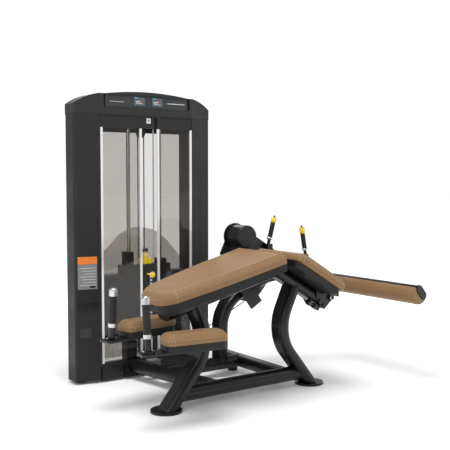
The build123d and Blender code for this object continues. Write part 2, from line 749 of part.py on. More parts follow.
with BuildPart() as chest_pad:
    add(chest_outline(pad_plane(CHEST_END, CHEST_SLOPE, CHEST_T - 0.3), 0))
    extrude(amount=CHEST_T - 12.3)
    add(chest_outline(pad_plane(CHEST_END, CHEST_SLOPE, 12), 0))
    extrude(amount=12, taper=40)
save(chest_pad.part, "chest_pad")
with BuildPart() as chest_base:
    add(chest_outline(pad_plane(CHEST_END, CHEST_SLOPE, CHEST_T + CHEST_BASE_T), 6))
    extrude(amount=CHEST_BASE_T)
    add(chest_beam, mode=Mode.SUBTRACT)
save(chest_base.part, "chest_pad_base")
with BuildPart() as thigh_pad:
    add(thigh_outline(pad_plane(THIGH_END, -THIGH_SLOPE, THIGH_T - 0.3), 0))
    extrude(amount=THIGH_T - 0.3)
save(thigh_pad.part, "thigh_pad")
with BuildPart() as thigh_base:
    add(thigh_outline(pad_plane(THIGH_END, -THIGH_SLOPE, THIGH_T + THIGH_BASE_T), 6))
    extrude(amount=THIGH_BASE_T)
    add(thigh_beam, mode=Mode.SUBTRACT)
save(thigh_base.part, "thigh_pad_base")

with BuildPart() as arm_pads:
    with BuildSketch(floor(364.3)):
        with Locations((ARMPAD_C, SPINE_Y - ARMPAD_OFF)):
            RectangleRounded(ARMPAD_L, ARMPAD_W, 30, rotation=-ARMPAD_SPLAY)
        with Locations((ARMPAD_C, SPINE_Y + ARMPAD_OFF)):
            RectangleRounded(ARMPAD_L, ARMPAD_W, 30, rotation=ARMPAD_SPLAY)
    extrude(amount=47.7)
    chamfer(arm_pads.faces().sort_by(Axis.Z)[-2:].edges(), length=11)
save(arm_pads.part, "arm_pads")
with BuildPart() as arm_bases:
    with BuildSketch(floor(336)):
        with Locations((ARMPAD_C, SPINE_Y - ARMPAD_OFF)):
            RectangleRounded(ARMPAD_L - 12, ARMPAD_W - 12, 26, rotation=-ARMPAD_SPLAY)
        with Locations((ARMPAD_C, SPINE_Y + ARMPAD_OFF)):
            RectangleRounded(ARMPAD_L - 12, ARMPAD_W - 12, 26, rotation=ARMPAD_SPLAY)
    extrude(amount=28)
save(arm_bases.part, "arm_pad_bases")

# plate frame under the arm pads, welded to the left leg, with the handle posts
HY = (SPINE_Y - HANDLE_OFF, SPINE_Y + HANDLE_OFF)
lean = radians(HANDLE_LEAN)


def handle_plane(i, t):
    """Plane square to handle i, t along it from the plate: local x = X."""
    s = 1 if i == 0 else -1
    return Plane(origin=(HANDLE_X - OX, HY[i] + s * t * sin(lean) - OY, 336 + t * cos(lean)), x_dir=(1, 0, 0),
                 z_dir=(0, s * sin(lean), cos(lean)))


with BuildPart() as arm_frame:
    with BuildSketch(floor(326)):
        with Locations((-157, SPINE_Y)):
            Rectangle(106, 460)
        with Locations((-310, SPINE_Y - 200)):
            RectangleRounded(410, 86, 20, rotation=-ARMPAD_SPLAY)
        with Locations((-310, SPINE_Y + 200)):
            RectangleRounded(410, 86, 20, rotation=ARMPAD_SPLAY)
    extrude(amount=10)
    with BuildSketch(front(SPINE_Y + 45)):
        with BuildLine():
            Polyline((-60, 326), (-206, 326), (-206, 312), (-120, 236), (-60, 236), close=True)
        make_face()
    extrude(amount=90)
    for i in (0, 1):
        with BuildSketch(handle_plane(i, -2)):
            Circle(30)
        extrude(amount=8)
        with BuildSketch(handle_plane(i, 0)):
            Circle(14)
        extrude(amount=236)
    with BuildSketch(floor(100)):
        with Locations((60, SPINE_Y)):
            Rectangle(230, 300)
    extrude(amount=300, mode=Mode.SUBTRACT)
    add(left_leg, mode=Mode.SUBTRACT)
save(arm_frame.part.solids().sort_by(SortBy.VOLUME)[-1], "armrest_support")
with BuildPart() as grips:
    for i in (0, 1):
        with BuildSketch(handle_plane(i, 80)):
            Circle(17.5)
            Circle(14.1, mode=Mode.SUBTRACT)
        extrude(amount=131)
save(grips.part, "handle_grips")
with BuildPart() as chrome:
    for i in (0, 1):
        with BuildSketch(handle_plane(i, 62)):
            Circle(19)
            Circle(14.1, mode=Mode.SUBTRACT)
        extrude(amount=18)
        with BuildSketch(handle_plane(i, 211)):
            Circle(19)
        extrude(amount=36)
        with BuildSketch(handle_plane(i, 205)):
            Circle(14.1)
        extrude(amount=31.2, mode=Mode.SUBTRACT)
        with BuildSketch(handle_plane(i, 6)):
            with Locations((22, 0), (-22, 0)):
                Circle(4.5)
        extrude(amount=5)
    fillet(chrome.edges().filter_by(GeomType.CIRCLE).sort_by(Axis.Z)[-2:], radius=11)
save(chrome.part, "handle_chrome")

# ================================================================ leg curl arm
with BuildPart() as cam:
    with BuildSketch(front(CAM_Y + CAM_T / 2)):
        with Locations((566, 518)):
            Circle(135)
        with Locations(PIVOT):
            Circle(50)
        make_hull()
        with Locations(PIVOT):
            Circle(SHAFT_R + RUN, mode=Mode.SUBTRACT)
    extrude(amount=CAM_T)
    with BuildSketch(front(CAM_Y + 13)):
        with Locations((559, 392)):
            Circle(9)
    extrude(amount=26)
    with BuildSketch(front(CAM_Y + 16)):
        with Locations(PIVOT):
            Circle(32)
            Circle(SHAFT_R + RUN, mode=Mode.SUBTRACT)
    extrude(amount=32)
save(cam.part, "cam_plate")
with BuildPart() as shaft:
    with BuildSketch(front(-130)):
        with Locations(PIVOT):
            Circle(SHAFT_R)
    extrude(amount=220)
    with BuildSketch(front(-345.5)):
        with Locations(PIVOT):
            Circle(25)
    extrude(amount=6)
save(shaft.part, "pivot_shaft")

# trigger handles: base, end of the grip and end of the coloured cap
START = ((572, 728.1), (605, 846), (612, 873))
ROLL = ((845, 655.1), (822, 778), (817, 810))
START_A = degrees(atan2(START[1][1] - START[0][1], START[1][0] - START[0][0]))
ROLL_A = degrees(atan2(ROLL[1][1] - ROLL[0][1], ROLL[1][0] - ROLL[0][0]))
TUBE_H, TUBE_D = 60.0, 40.0
with BuildPart() as arm:
    with BuildSketch(front(ARM_Y + ARM_T)):
        with BuildLine():
            Polyline((259, 690), (292, 757), (355, 800), (420, 790), (503, 768), (632, 689), (735, 607), (755, 540),
                     (700, 522), (536, 504), (532, 493), (510, 452), (540, 410), (470, 369), (400, 465), close=True)
        make_face()
        with Locations((355, 781)):
            Circle(70)
        with Locations(PIVOT):
            Circle(45)
    extrude(amount=ARM_T)
    with BuildSketch(front(-292)):
        with Locations(PIVOT):
            Circle(42)
    extrude(amount=22)
    with BuildSketch(tilted(PIVOT, ARM_Y + TUBE_D / 2, ROLLER_ANGLE)):
        with Locations((108, 0)):
            Rectangle(296, TUBE_H)
    extrude(amount=TUBE_D)
    with BuildSketch(front(ARM_Y)):
        with Locations((574, 708)):
            Rectangle(34, 40)
    extrude(amount=30)
    with BuildSketch(front(-280)):
        with Locations(PIVOT):
            Circle(SHAFT_R + RUN)
    extrude(amount=80, mode=Mode.SUBTRACT)
    with BuildSketch(across(START[0], -340, START_A)):
        Circle(9)
    extrude(amount=30, mode=Mode.SUBTRACT)
save(arm.part, "movement_arm")
with BuildPart() as weight:
    with BuildSketch(front(ARM_Y)):
        with Locations((355, 781)):
            Circle(62)
    extrude(amount=110)
    fillet(weight.edges().sort_by(Axis.Y)[:1], radius=6)
save(weight.part, "counterweight")


def lever(points, name, y):
    """Round trigger handle: grip on a collar with a coloured cap; points = base, grip end, cap end."""
    base, grip, cap = points
    ang = degrees(atan2(grip[1] - base[1], grip[0] - base[0]))
    l1 = hypot(grip[0] - base[0], grip[1] - base[1])
    l2 = hypot(cap[0] - base[0], cap[1] - base[1])
    with BuildPart() as lv:
        with BuildSketch(across(base, y, ang)):
            Circle(9)
        extrude(amount=l1)
        with BuildSketch(across(on_slope(base, ang, 26, 0), y, ang)):
            Circle(16)
        extrude(amount=10)
        with BuildSketch(across(on_slope(base, ang, 36, 0), y, ang)):
            Circle(13)
        extrude(amount=l1 - 36)
        with BuildSketch(across(on_slope(base, ang, l1, 0), y, ang)):
            Circle(14.5)
        extrude(amount=l2 - l1)
        with BuildSketch(across(on_slope(base, ang, l2, 0), y, ang)):
            Circle(5 + RUN)
        extrude(amount=-24, mode=Mode.SUBTRACT)
    save(lv.part, name)
    with BuildPart() as bt:
        with BuildSketch(across(on_slope(base, ang, l2 - 14, 0), y, ang)):
            Circle(5)
        extrude(amount=26)
    save(bt.part, name.replace("lever", "button"))
    return ang, l2


lever(START, "start_lever", -340)
lever(ROLL, "roller_lever", -340)

# telescoping carriage with the roller bar
OUT_H, OUT_D = TUBE_H + 14, TUBE_D + 14
BAR = (389.5, 12.3)               # middle of the roller bar in the arm's own axes
with BuildPart() as carriage:
    with BuildSketch(tilted(PIVOT, ARM_Y + OUT_D / 2, ROLLER_ANGLE)):
        with Locations((232, 0)):
            Rectangle(284, OUT_H)
    extrude(amount=OUT_D)
    with BuildSketch(tilted(PIVOT, -290, ROLLER_ANGLE)):
        with Locations(BAR):
            SlotOverall(84, 36, rotation=-49 - ROLLER_ANGLE)
    extrude(amount=677)
    with BuildSketch(tilted(PIVOT, -967, ROLLER_ANGLE)):
        with Locations(BAR):
            SlotOverall(90, 42, rotation=-49 - ROLLER_ANGLE)
    extrude(amount=18)
    with BuildSketch(front(-334)):
        with BuildLine():
            Polyline((812, 574), (878, 558), (862, 655), (828, 655), close=True)
        make_face()
    extrude(amount=12)
    with BuildSketch(tilted(PIVOT, ARM_Y + TUBE_D / 2 + RUN, ROLLER_ANGLE)):
        with Locations((200, 0)):
            Rectangle(290, TUBE_H + 2 * RUN)
    extrude(amount=TUBE_D + 2 * RUN, mode=Mode.SUBTRACT)
    with BuildSketch(across(ROLL[0], -340, ROLL_A)):
        Circle(9)
    extrude(amount=30, mode=Mode.SUBTRACT)
save(carriage.part, "roller_carriage")

# roller cushion: a crescent lying against the lower left of the bar
with BuildPart() as roller:
    with BuildSketch(tilted(PIVOT, -370, ROLLER_ANGLE)):
        with Locations((ROLLER_DIST, 0)):
            Circle(ROLLER_R)
        with Locations(BAR):
            SlotOverall(85, 37, rotation=-49 - ROLLER_ANGLE, mode=Mode.SUBTRACT)
        with Locations((BAR[0] + 60 * cos(radians(41 - ROLLER_ANGLE)), BAR[1] + 60 * sin(radians(41 - ROLLER_ANGLE)))):
            Rectangle(122, 200, rotation=41 - ROLLER_ANGLE, mode=Mode.SUBTRACT)
    extrude(amount=596)
save(roller.part, "roller_pad")
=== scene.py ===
import bpy, bmesh, json, math
import numpy as np
from mathutils import Vector, Matrix, Quaternion


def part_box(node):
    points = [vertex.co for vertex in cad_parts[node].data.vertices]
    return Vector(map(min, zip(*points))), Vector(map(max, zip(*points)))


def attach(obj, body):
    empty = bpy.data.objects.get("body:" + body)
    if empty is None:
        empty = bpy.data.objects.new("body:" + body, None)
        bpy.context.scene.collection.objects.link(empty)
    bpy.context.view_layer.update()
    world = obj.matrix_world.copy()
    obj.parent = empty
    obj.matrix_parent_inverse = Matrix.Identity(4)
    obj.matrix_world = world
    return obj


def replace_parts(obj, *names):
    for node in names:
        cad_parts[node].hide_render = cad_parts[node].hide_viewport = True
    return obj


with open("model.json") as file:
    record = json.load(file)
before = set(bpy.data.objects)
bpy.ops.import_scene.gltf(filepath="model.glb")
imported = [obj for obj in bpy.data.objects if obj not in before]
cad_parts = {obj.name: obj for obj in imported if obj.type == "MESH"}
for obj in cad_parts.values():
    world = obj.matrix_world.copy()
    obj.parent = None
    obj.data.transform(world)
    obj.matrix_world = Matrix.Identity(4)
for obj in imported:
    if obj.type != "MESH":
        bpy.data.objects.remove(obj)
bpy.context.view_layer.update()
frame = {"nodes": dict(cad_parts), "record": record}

N = frame["nodes"]
OX, OY = 0.312, -0.422            # the layout origin is the middle of the tower's front plane


def L(x, y, z):
    """Layout millimetres to the shared frame in metres."""
    return Vector((x / 1000 - OX, y / 1000 - OY, z / 1000))


# ------------------------------------------------------------------ materials
def new_mat(name):
    m = bpy.data.materials.new(name)
    m.use_nodes = True
    nt = m.node_tree
    return m, nt, nt.nodes["Principled BSDF"]


def link(nt, a, b):
    nt.links.new(a, b)


def finish_mat(name, base, rough, metal=0.0, coat=0.0, coat_rough=0.1, var=0.12, rough_var=0.08, scale=60.0,
               bump=0.0, bump_scale=900.0, spec=0.5, sheen=0.0, smudge=6.0):
    """Painted, moulded or metal surface with mottled colour, uneven sheen and a fine skin."""
    m, nt, b = new_mat(name)
    b.inputs["Metallic"].default_value = metal
    b.inputs["Specular IOR Level"].default_value = spec
    b.inputs["Coat Weight"].default_value = coat
    b.inputs["Coat Roughness"].default_value = coat_rough
    if sheen:
        b.inputs["Sheen Weight"].default_value = sheen
        b.inputs["Sheen Roughness"].default_value = 0.5
    tc = nt.nodes.new("ShaderNodeTexCoord")
    n1 = nt.nodes.new("ShaderNodeTexNoise"); n1.inputs["Scale"].default_value = scale; n1.inputs["Detail"].default_value = 5
    n2 = nt.nodes.new("ShaderNodeTexNoise"); n2.inputs["Scale"].default_value = smudge; n2.inputs["Detail"].default_value = 4
    link(nt, tc.outputs["Object"], n1.inputs["Vector"]); link(nt, tc.outputs["Object"], n2.inputs["Vector"])
    mix = nt.nodes.new("ShaderNodeMix"); mix.data_type = "RGBA"
    mix.inputs["A"].default_value = (*[max(0.0, c * (1 - var)) for c in base], 1)
    mix.inputs["B"].default_value = (*[min(1.0, c * (1 + var) + 0.001) for c in base], 1)
    link(nt, n1.outputs["Fac"], mix.inputs["Factor"])
    link(nt, mix.outputs["Result"], b.inputs["Base Color"])
    mr = nt.nodes.new("ShaderNodeMapRange")
    mr.inputs["From Min"].default_value = 0.3; mr.inputs["From Max"].default_value = 0.7
    mr.inputs["To Min"].default_value = max(0.02, rough - rough_var); mr.inputs["To Max"].default_value = min(1.0, rough + rough_var)
    link(nt, n2.outputs["Fac"], mr.inputs["Value"]); link(nt, mr.outputs["Result"], b.inputs["Roughness"])
    if bump:
        n3 = nt.nodes.new("ShaderNodeTexNoise"); n3.inputs["Scale"].default_value = bump_scale; n3.inputs["Detail"].default_value = 3
        link(nt, tc.outputs["Object"], n3.inputs["Vector"])
        bp = nt.nodes.new("ShaderNodeBump"); bp.inputs["Strength"].default_value = bump; bp.inputs["Distance"].default_value = 0.0006
        link(nt, n3.outputs["Fac"], bp.inputs["Height"]); link(nt, bp.outputs["Normal"], b.inputs["Normal"])
    return m


def leather(name, base):
    """Upholstery vinyl: cell grain, soft creases, mottled tone, and painted shade that darkens the hollows of the soft
    creases.
    """
    m, nt, b = new_mat(name)
    tc = nt.nodes.new("ShaderNodeTexCoord")
    vo = nt.nodes.new("ShaderNodeTexVoronoi"); vo.inputs["Scale"].default_value = 620; vo.feature = "SMOOTH_F1"
    ns = nt.nodes.new("ShaderNodeTexNoise"); ns.inputs["Scale"].default_value = 9; ns.inputs["Detail"].default_value = 6
    nf = nt.nodes.new("ShaderNodeTexNoise"); nf.inputs["Scale"].default_value = 140; nf.inputs["Detail"].default_value = 4
    for n in (vo, ns, nf):
        link(nt, tc.outputs["Object"], n.inputs["Vector"])
    mix = nt.nodes.new("ShaderNodeMix"); mix.data_type = "RGBA"
    mix.inputs["A"].default_value = (*[c * 0.86 for c in base], 1)
    mix.inputs["B"].default_value = (*[min(1, c * 1.10) for c in base], 1)
    # painted shade: the colour follows the crease noise ns that also drives the crease bump, so the crease hollows are
    # darker; nf adds random mottle
    add = nt.nodes.new("ShaderNodeMath"); add.operation = "MULTIPLY_ADD"; add.inputs[1].default_value = 0.5; add.inputs[2].default_value = 0.25
    link(nt, ns.outputs["Fac"], add.inputs[0])
    crease_shade_and_mottle = nt.nodes.new("ShaderNodeMath"); crease_shade_and_mottle.operation = "MULTIPLY_ADD"; crease_shade_and_mottle.inputs[1].default_value = 0.35
    link(nt, nf.outputs["Fac"], crease_shade_and_mottle.inputs[0]); link(nt, add.outputs[0], crease_shade_and_mottle.inputs[2])
    link(nt, crease_shade_and_mottle.outputs[0], mix.inputs["Factor"]); link(nt, mix.outputs["Result"], b.inputs["Base Color"])
    mr = nt.nodes.new("ShaderNodeMapRange"); mr.inputs["To Min"].default_value = 0.40; mr.inputs["To Max"].default_value = 0.58
    link(nt, ns.outputs["Fac"], mr.inputs["Value"]); link(nt, mr.outputs["Result"], b.inputs["Roughness"])
    bp = nt.nodes.new("ShaderNodeBump"); bp.inputs["Strength"].default_value = 0.35; bp.inputs["Distance"].default_value = 0.0004
    link(nt, vo.outputs["Distance"], bp.inputs["Height"])
    bp2 = nt.nodes.new("ShaderNodeBump"); bp2.inputs["Strength"].default_value = 0.25; bp2.inputs["Distance"].default_value = 0.002
    link(nt, ns.outputs["Fac"], bp2.inputs["Height"]); link(nt, bp2.outputs["Normal"], bp.inputs["Normal"])
    link(nt, bp.outputs["Normal"], b.inputs["Normal"])
    b.inputs["Sheen Weight"].default_value = 0.03
    b.inputs["Specular IOR Level"].default_value = 0.28
    return m


def pane_mat(name, x0, x1, trim=0.012):
    """Smoke tinted sheet whose two upright edges carry a bright channel."""
    m, nt, b = new_mat(name)
    out = nt.nodes["Material Output"]
    tc = nt.nodes.new("ShaderNodeTexCoord"); sx = nt.nodes.new("ShaderNodeSeparateXYZ")
    link(nt, tc.outputs["Object"], sx.inputs["Vector"])
    sub = nt.nodes.new("ShaderNodeMath"); sub.operation = "SUBTRACT"; sub.inputs[1].default_value = (x0 + x1) / 2
    ab = nt.nodes.new("ShaderNodeMath"); ab.operation = "ABSOLUTE"
    gt = nt.nodes.new("ShaderNodeMath"); gt.operation = "GREATER_THAN"; gt.inputs[1].default_value = (x1 - x0) / 2 - trim - 0.0006
    link(nt, sx.outputs["X"], sub.inputs[0]); link(nt, sub.outputs[0], ab.inputs[0]); link(nt, ab.outputs[0], gt.inputs[0])
    b.inputs["Base Color"].default_value = (0.86, 0.86, 0.86, 1)
    b.inputs["Roughness"].default_value = 0.22; b.inputs["Metallic"].default_value = 0.35
    tr = nt.nodes.new("ShaderNodeBsdfTransparent"); tr.inputs["Color"].default_value = (0.80, 0.785, 0.77, 1)
    gl = nt.nodes.new("ShaderNodeBsdfGlossy"); gl.inputs["Roughness"].default_value = 0.06; gl.inputs["Color"].default_value = (0.9, 0.9, 0.9, 1)
    df = nt.nodes.new("ShaderNodeBsdfDiffuse"); df.inputs["Color"].default_value = (0.42, 0.40, 0.385, 1)
    ns = nt.nodes.new("ShaderNodeTexNoise"); ns.inputs["Scale"].default_value = 3.0
    link(nt, tc.outputs["Object"], ns.inputs["Vector"])
    mr = nt.nodes.new("ShaderNodeMapRange"); mr.inputs["To Min"].default_value = 0.0; mr.inputs["To Max"].default_value = 0.02
    link(nt, ns.outputs["Fac"], mr.inputs["Value"])
    m1 = nt.nodes.new("ShaderNodeMixShader"); link(nt, mr.outputs["Result"], m1.inputs[0])
    link(nt, tr.outputs[0], m1.inputs[1]); link(nt, df.outputs[0], m1.inputs[2])
    m2 = nt.nodes.new("ShaderNodeMixShader"); m2.inputs[0].default_value = 0.03
    link(nt, m1.outputs[0], m2.inputs[1]); link(nt, gl.outputs[0], m2.inputs[2])
    m3 = nt.nodes.new("ShaderNodeMixShader")
    link(nt, gt.outputs[0], m3.inputs[0]); link(nt, m2.outputs[0], m3.inputs[1]); link(nt, b.outputs[0], m3.inputs[2])
    link(nt, m3.outputs[0], out.inputs["Surface"])
    return m


def sheet_mat(name, colour, alpha, tint=(1, 1, 1)):
    """Grey rear sheet that lets some light through."""
    m, nt, b = new_mat(name)
    out = nt.nodes["Material Output"]
    tc = nt.nodes.new("ShaderNodeTexCoord"); ns = nt.nodes.new("ShaderNodeTexNoise"); ns.inputs["Scale"].default_value = 2.2
    link(nt, tc.outputs["Object"], ns.inputs["Vector"])
    mr = nt.nodes.new("ShaderNodeMapRange"); mr.inputs["To Min"].default_value = max(0.0, alpha - 0.06); mr.inputs["To Max"].default_value = min(1, alpha + 0.06)
    link(nt, ns.outputs["Fac"], mr.inputs["Value"])
    b.inputs["Base Color"].default_value = (*colour, 1); b.inputs["Roughness"].default_value = 0.25
    tr = nt.nodes.new("ShaderNodeBsdfTransparent"); tr.inputs["Color"].default_value = (*tint, 1)
    mx = nt.nodes.new("ShaderNodeMixShader"); link(nt, mr.outputs["Result"], mx.inputs[0])
    link(nt, tr.outputs[0], mx.inputs[1]); link(nt, b.outputs[0], mx.inputs[2]); link(nt, mx.outputs[0], out.inputs["Surface"])
    return m


M = {
    "gloss_black": finish_mat("gloss_black", (0.0035, 0.0035, 0.0037), 0.33, coat=0.0, bump=0.06, bump_scale=700, spec=0.42),
    "column": finish_mat("column_powder", (0.0130, 0.0132, 0.0130), 0.50, var=0.16, scale=300, bump=0.18, bump_scale=1400, spec=0.32),
    "header": finish_mat("header_powder", (0.0150, 0.0152, 0.0150), 0.48, var=0.16, scale=300, bump=0.18, bump_scale=1400, spec=0.36),
    "panel": finish_mat("panel_print", (0.030, 0.032, 0.034), 0.38, spec=0.4),
    "stack": finish_mat("stack_black", (0.020, 0.020, 0.019), 0.45, var=0.2, scale=120, bump=0.25, bump_scale=500, spec=0.4),
    "rod": finish_mat("polished_rod", (0.50, 0.48, 0.45), 0.20, metal=1.0, var=0.05),
    "rubber": finish_mat("rubber", (0.016, 0.016, 0.016), 0.72, bump=0.3),
    "cable": finish_mat("cable_sheath", (0.02, 0.02, 0.02), 0.35),
    "nylon": finish_mat("nylon", (0.02, 0.02, 0.021), 0.5, bump=0.1),
    "grey": finish_mat("grey_paint", (0.17, 0.17, 0.17), 0.45, bump=0.15),
    "base": finish_mat("pad_backing", (0.0085, 0.0085, 0.0085), 0.52, bump=0.3, bump_scale=420, spec=0.35),
    "grip": finish_mat("grip_rubber", (0.013, 0.013, 0.0135), 0.6, bump=0.4, bump_scale=260, spec=0.35),
    "chrome": finish_mat("chrome_trim", (0.60, 0.60, 0.61), 0.24, metal=1.0, var=0.05),
    "yellow": finish_mat("yellow_moulding", (0.86, 0.62, 0.012), 0.34, var=0.06, coat=0.2),
    "knob": finish_mat("knob_black", (0.014, 0.014, 0.014), 0.28, coat=0.3),
    "label": finish_mat("label_grey", (0.20, 0.205, 0.21), 0.5),
    "label_dark": finish_mat("label_dark", (0.022, 0.023, 0.024), 0.5),
    "orange": finish_mat("label_orange", (0.75, 0.20, 0.02), 0.45),
    "pale": finish_mat("pale_print", (0.55, 0.56, 0.57), 0.5),
    "blue": finish_mat("blue_print", (0.10, 0.26, 0.42), 0.5),
    "picto": finish_mat("pictogram_field", (0.075, 0.095, 0.11), 0.45),
    "red": finish_mat("red_print", (0.55, 0.03, 0.02), 0.5),
    "white": finish_mat("white_moulding", (0.72, 0.72, 0.70), 0.35),
    # near-black: print on the info label square, and painted shade standing in for the inside of the pin holes, the
    # bottle plate holes and the fascia notch
    "dark": finish_mat("dark_print_and_painted_recess_shade", (0.004, 0.004, 0.004), 0.8),
    "thread": finish_mat("thread", (0.62, 0.50, 0.37), 0.8, var=0.1, scale=900),
    "piping": finish_mat("piping", (0.36, 0.25, 0.155), 0.5, var=0.08, bump=0.2),
}
TAN = (0.245, 0.142, 0.062)
M["tan"] = leather("tan_leather", TAN)

SLOT_MAT = {"black_frame": "gloss_black", "column_paint": "column", "header_paint": "header", "panel_dark": "panel",
            "steel_rod": "rod", "stack_steel": "stack", "rubber_black": "rubber", "cable_black": "cable",
            "pulley_black": "nylon", "bracket_grey": "grey", "tan_leather": "tan", "pad_base": "base",
            "grip_grey": "grip", "chrome": "chrome", "yellow": "yellow", "knob_black": "knob"}
slot_of = {s["node"]: s["material_slot"] for s in frame["record"]["subparts"]}
for name, ob in N.items():
    s = slot_of.get(name)
    if s in SLOT_MAT:
        for i in range(max(1, len(ob.material_slots))):
            if i < len(ob.material_slots):
                ob.material_slots[i].material = M[SLOT_MAT[s]]
            else:
                ob.data.materials.append(M[SLOT_MAT[s]])


def paint(name, mat):
    for sl in N[name].material_slots:
        sl.material = mat


paint("frame_bolts", M["gloss_black"])
for nm in ("front_shroud_left", "front_shroud_right"):
    lo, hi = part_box(nm)
    paint(nm, pane_mat(nm + "_mat", lo[0], hi[0]))
paint("rear_shroud", sheet_mat("rear_tint", (0.40, 0.385, 0.37), 0.03, tint=(0.885, 0.88, 0.875)))
paint("lower_rear_shroud", sheet_mat("rear_lower", (0.20, 0.20, 0.19), 0.22, tint=(0.85, 0.84, 0.83)))


# ------------------------------------------------------------------ helpers for new pieces
def add_obj(name, me, mat, body, smooth=True):
    ob = bpy.data.objects.new(name, me)
    bpy.context.scene.collection.objects.link(ob)
    if mat is not None:
        me.materials.append(mat)
    if smooth:
        me.polygons.foreach_set("use_smooth", [True] * len(me.polygons))
    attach(ob, body)
    return ob


def mesh_from(name, verts, faces):
    me = bpy.data.meshes.new(name)
    me.from_pydata([tuple(v) for v in verts], [], faces)
    me.update()
    return me


def quad_plate(name, corners, normal, thick, mat, body):
    """Thin plate from four corners, standing thick along normal."""
    n = Vector(normal).normalized() * thick
    v = [Vector(c) for c in corners] + [Vector(c) + n for c in corners]
    f = [(3, 2, 1, 0), (4, 5, 6, 7), (0, 1, 5, 4), (1, 2, 6, 5), (2, 3, 7, 6), (3, 0, 4, 7)]
    return add_obj(name, mesh_from(name, v, f), mat, body, smooth=False)


def front_plate(name, x0, x1, z0, z1, y, thick, mat, body="machine_frame"):
    return quad_plate(name, [L(x0, y, z0), L(x1, y, z0), L(x1, y, z1), L(x0, y, z1)], (0, -1, 0), thick, mat, body)


def tube_curve(name, pts, r, mat, body, closed=True, res=4):
    cu = bpy.data.curves.new(name, "CURVE"); cu.dimensions = "3D"
    sp = cu.splines.new("POLY"); sp.points.add(len(pts) - 1)
    for p, q in zip(sp.points, pts):
        p.co = (*q, 1)
    sp.use_cyclic_u = closed
    cu.bevel_depth = r; cu.bevel_resolution = res
    ob = bpy.data.objects.new(name, cu)
    bpy.context.scene.collection.objects.link(ob)
    cu.materials.append(mat)
    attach(ob, body)
    return ob


def round_poly(pts, radii, seg=10):
    """Closed outline with rounded corners."""
    out = []
    n = len(pts)
    for i in range(n):
        p = np.array(pts[i], float); a = np.array(pts[i - 1], float); b = np.array(pts[(i + 1) % n], float)
        u = (a - p) / np.linalg.norm(a - p); v = (b - p) / np.linalg.norm(b - p)
        r = radii[i]
        ang = math.acos(max(-1, min(1, float(u @ v))))
        if r <= 0 or ang > math.pi - 0.02:
            out.append(tuple(p)); continue
        t = r / math.tan(ang / 2)
        c = p + (u + v) / np.linalg.norm(u + v) * r / math.sin(ang / 2)
        s, e = p + u * t, p + v * t
        a0 = math.atan2(*(s - c)[::-1]); a1 = math.atan2(*(e - c)[::-1])
        d = (a1 - a0 + math.pi) % (2 * math.pi) - math.pi
        for k in range(seg + 1):
            w = a0 + d * k / seg
            out.append((c[0] + r * math.cos(w), c[1] + r * math.sin(w)))
    return out


def resample(pts, step):
    P = np.array(pts + [pts[0]], float)
    d = np.r_[0, np.cumsum(np.linalg.norm(np.diff(P, axis=0), axis=1))]
    n = max(24, int(d[-1] / step))
    t = np.linspace(0, d[-1], n, endpoint=False)
    return np.c_[np.interp(t, d, P[:, 0]), np.interp(t, d, P[:, 1])]


def inset(P, a):
    """Outline moved inwards by a (counter-clockwise outline)."""
    t = np.roll(P, -1, 0) - np.roll(P, 1, 0)
    t /= np.linalg.norm(t, axis=1)[:, None]
    nrm = np.c_[-t[:, 1], t[:, 0]]
    area = 0.5 * np.sum(P[:, 0] * np.roll(P[:, 1], -1) - np.roll(P[:, 0], -1) * P[:, 1])
    return P + nrm * a * (1 if area > 0 else -1)


def dashes(name, P3, nrm3, length, gap, r, mat, body):
    """Row of stitches along a closed loop, each a short flattened rod lying on the surface."""
    P3 = np.array(P3); nrm3 = np.array(nrm3)
    Q = np.vstack([P3, P3[:1]]); R = np.vstack([nrm3, nrm3[:1]])
    d = np.r_[0, np.cumsum(np.linalg.norm(np.diff(Q, axis=0), axis=1))]
    verts, faces = [], []
    s = 0.0
    while s + length < d[-1]:
        a = np.array([np.interp(s, d, Q[:, i]) for i in range(3)])
        b = np.array([np.interp(s + length, d, Q[:, i]) for i in range(3)])
        n = np.array([np.interp(s, d, R[:, i]) for i in range(3)]); n /= np.linalg.norm(n)
        t = b - a; t /= np.linalg.norm(t); c = np.cross(n, t)
        k = len(verts)
        for p, sc in ((a, 0.45), ((a + b) / 2, 1.0), (b, 0.45)):
            for j in range(6):
                w = 2 * math.pi * j / 6
                verts.append(p + (c * math.cos(w) + n * math.sin(w)) * r * sc)
        for m_ in range(2):
            for j in range(6):
                faces.append((k + m_ * 6 + j, k + m_ * 6 + (j + 1) % 6, k + (m_ + 1) * 6 + (j + 1) % 6, k + (m_ + 1) * 6 + j))
        faces.append(tuple(k + j for j in range(5, -1, -1))); faces.append(tuple(k + 12 + j for j in range(6)))
        s += length + gap
    return add_obj(name, mesh_from(name, verts, faces), mat, body)


